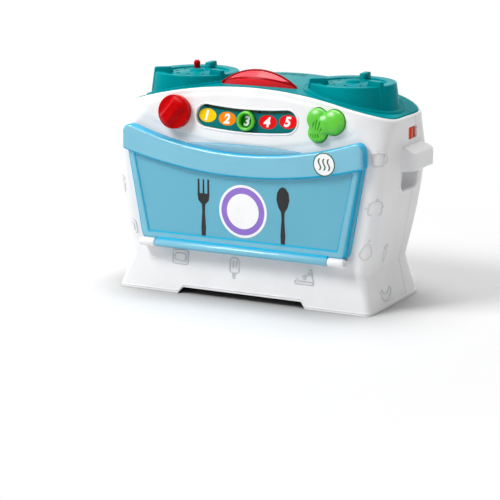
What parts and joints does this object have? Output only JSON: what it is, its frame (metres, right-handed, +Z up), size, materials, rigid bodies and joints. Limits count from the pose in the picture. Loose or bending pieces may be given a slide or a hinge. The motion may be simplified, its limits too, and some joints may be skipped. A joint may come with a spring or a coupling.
{
  "type": "toy oven",
  "caption": "Tabletop toy oven with a clear drop-down door, moulded burners, a turning knob, a sliding number ring, a push button and lifting grips",
  "frame": {"origin": "on the table under the middle of the oven", "axes": "X runs along the width, -Y is the front with the door, +Z is up"},
  "size_m": [0.366, 0.157, 0.256],
  "materials": {
    "white_shell": "satin",
    "teal_cover": "satin",
    "teal_strip": "satin",
    "liner": "satin",
    "clear_blue": "gloss",
    "clear_red": "gloss",
    "red_plastic": "gloss",
    "green_plastic": "gloss",
    "orange_plastic": "gloss",
    "black_plastic": "satin",
    "grey_plastic": "satin",
    "soft_rubber": "matte",
    "board": "satin",
    "cell_wrap": "gloss",
    "wire_cover": "satin",
    "steel": "satin"
  },
  "bodies": {
    "casing": {"front_shell": "white_shell", "rear_shell": "white_shell", "base_plate": "white_shell", "cooktop": "teal_cover", "oven_liner": "liner", "hinge_pins": "steel", "timer_encoder": "black_plastic", "number_plate": "teal_strip", "slider_board": "board", "button_board": "board", "heat_lens": "clear_red", "lens_board": "board", "pin_spring": "steel", "pin_board": "board", "power_switch": "black_plastic", "handle_right": "white_shell", "handle_left": "white_shell", "main_board": "board", "speaker": "black_plastic", "speaker_ring": "grey_plastic", "battery_box": "grey_plastic", "battery_contacts": "steel", "batteries": "cell_wrap", "battery_cover": "white_shell", "battery_screw": "steel", "shell_screws": "steel", "base_screws": "steel", "cooktop_screws": "steel", "board_screws": "steel", "wire_harness": "wire_cover"},
    "door": {"door": "clear_blue"},
    "knob": {"timer_knob": "red_plastic"},
    "ring": {"number_slider": "green_plastic", "slider_carriage": "grey_plastic"},
    "button": {"veg_button": "green_plastic", "button_plunger": "soft_rubber"},
    "pin": {"pan_pin": "red_plastic"},
    "nub": {"power_slide": "orange_plastic"}
  },
  "joints": [
    {"name": "door_hinge", "type": "hinge", "parent": "casing", "child": "door", "pos_m": [0, -0.0735, 0.0565], "axis": [1, 0, 0], "range_deg": [0, 90]},
    {"name": "knob_turn", "type": "hinge", "parent": "casing", "child": "knob", "pos_m": [-0.088, -0.05824, 0.20596], "axis": [0, -0.9903, 0.1392], "range_deg": [-140, 140]},
    {"name": "number_slide", "type": "hinge", "parent": "casing", "child": "ring", "pos_m": [0, 0.00661, 0.66743], "axis": [0, -0.9903, 0.1392], "range_deg": [-6.1, 6.1]},
    {"name": "veg_press", "type": "slide", "parent": "casing", "child": "button", "axis": [0, 0.9903, -0.1392], "range_m": [0, 0.0025], "stiffness_N_per_m": 600, "springref_m": -0.001},
    {"name": "pan_press", "type": "slide", "parent": "casing", "child": "pin", "axis": [0, 0, -1], "range_m": [0, 0.007], "stiffness_N_per_m": 150, "springref_m": -0.004, "deforming": ["pin_spring"]},
    {"name": "power_slide", "type": "slide", "parent": "casing", "child": "nub", "axis": [0, 1, 0], "range_m": [0, 0.007]}
  ]
}
